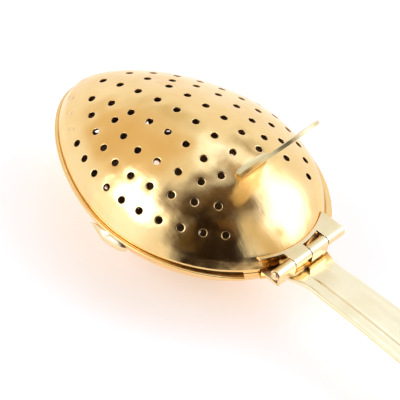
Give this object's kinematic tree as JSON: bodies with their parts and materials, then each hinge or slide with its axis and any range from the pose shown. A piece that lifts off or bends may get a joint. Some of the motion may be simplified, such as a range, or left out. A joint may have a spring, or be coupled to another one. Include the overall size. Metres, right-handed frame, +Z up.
{
  "type": "tea infuser",
  "caption": "Hinged tea infuser spoon: a perforated egg-shaped bowl on a long flat handle, with a perforated lid that a thumb tab opens.",
  "frame": {"origin": "middle of the small flat under the bowl, on the surface that the spoon rests on, below the bowl's widest section", "axes": "+X along the spoon from the bowl's tip towards the handle's end, +Y across it, away from the side catch, +Z up"},
  "size_m": [0.1493, 0.0399, 0.0357],
  "materials": {
    "gold_shell": "polished",
    "gold_hinge": "polished",
    "gold_handle": "satin"
  },
  "bodies": {
    "spoon": {"bowl": "gold_shell", "bowl_hinge_leaf": "gold_hinge", "hinge_pin": "gold_hinge", "handle": "gold_handle", "side_catch": "gold_shell"},
    "lid": {"lid": "gold_shell", "lid_hinge_leaf": "gold_hinge", "thumb_tab": "gold_hinge"}
  },
  "joints": [
    {"name": "lid_hinge", "type": "hinge", "parent": "spoon", "child": "lid", "pos_m": [0.024, 0, 0.01295], "axis": [0, 1, 0], "range_deg": [0, 107]}
  ]
}
